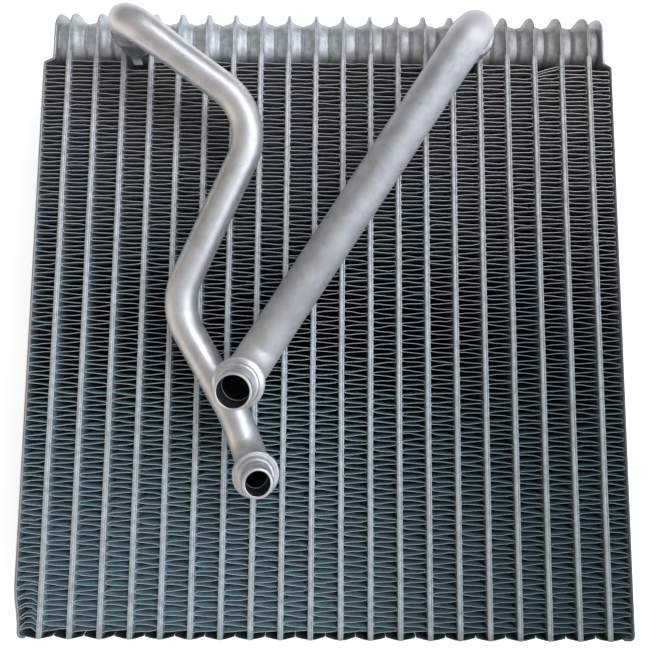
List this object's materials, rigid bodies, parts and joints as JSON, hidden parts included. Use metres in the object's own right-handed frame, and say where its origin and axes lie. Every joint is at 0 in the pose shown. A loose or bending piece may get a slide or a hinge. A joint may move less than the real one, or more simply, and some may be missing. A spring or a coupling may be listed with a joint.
{
  "type": "evaporator core",
  "caption": "Brazed aluminium heat exchanger block with folded fins between stamped tubes, cups along its tank end and bent pipes across the front.",
  "frame": {"origin": "middle of the back face, between the tank end and the bottom end and between the two end plates", "axes": "+X along the width to the outlet port's side, +Y along the tubes to the tank end, +Z out of the front face that carries the pipes"},
  "size_m": [0.249, 0.2646, 0.1026],
  "materials": {
    "plate_aluminium": "matte, brazed",
    "fin_aluminium": "matte",
    "end_plate_aluminium": "matte, scuffed",
    "pipe_aluminium": "satin",
    "boss_aluminium": "satin"
  },
  "bodies": {
    "root": {"end_plate_left": "end_plate_aluminium", "end_plate_right": "end_plate_aluminium", "fin_01": "fin_aluminium", "fin_02": "fin_aluminium", "fin_03": "fin_aluminium", "fin_04": "fin_aluminium", "fin_05": "fin_aluminium", "fin_06": "fin_aluminium", "fin_07": "fin_aluminium", "fin_08": "fin_aluminium", "fin_09": "fin_aluminium", "fin_10": "fin_aluminium", "fin_11": "fin_aluminium", "fin_12": "fin_aluminium", "fin_13": "fin_aluminium", "fin_14": "fin_aluminium", "fin_15": "fin_aluminium", "fin_16": "fin_aluminium", "fin_17": "fin_aluminium", "fin_18": "fin_aluminium", "fin_19": "fin_aluminium", "fin_20": "fin_aluminium", "fin_21": "fin_aluminium", "inlet_boss": "boss_aluminium", "inlet_pipe": "pipe_aluminium", "outlet_boss": "boss_aluminium", "outlet_pipe": "pipe_aluminium", "tube_01": "plate_aluminium", "tube_02": "plate_aluminium", "tube_03": "plate_aluminium", "tube_04": "plate_aluminium", "tube_05": "plate_aluminium", "tube_06": "plate_aluminium", "tube_07": "plate_aluminium", "tube_08": "plate_aluminium", "tube_09": "plate_aluminium", "tube_10": "plate_aluminium", "tube_11": "plate_aluminium", "tube_12": "plate_aluminium", "tube_13": "plate_aluminium", "tube_14": "plate_aluminium", "tube_15": "plate_aluminium", "tube_16": "plate_aluminium", "tube_17": "plate_aluminium", "tube_18": "plate_aluminium", "tube_19": "plate_aluminium", "tube_20": "plate_aluminium"}
  },
  "joints": []
}
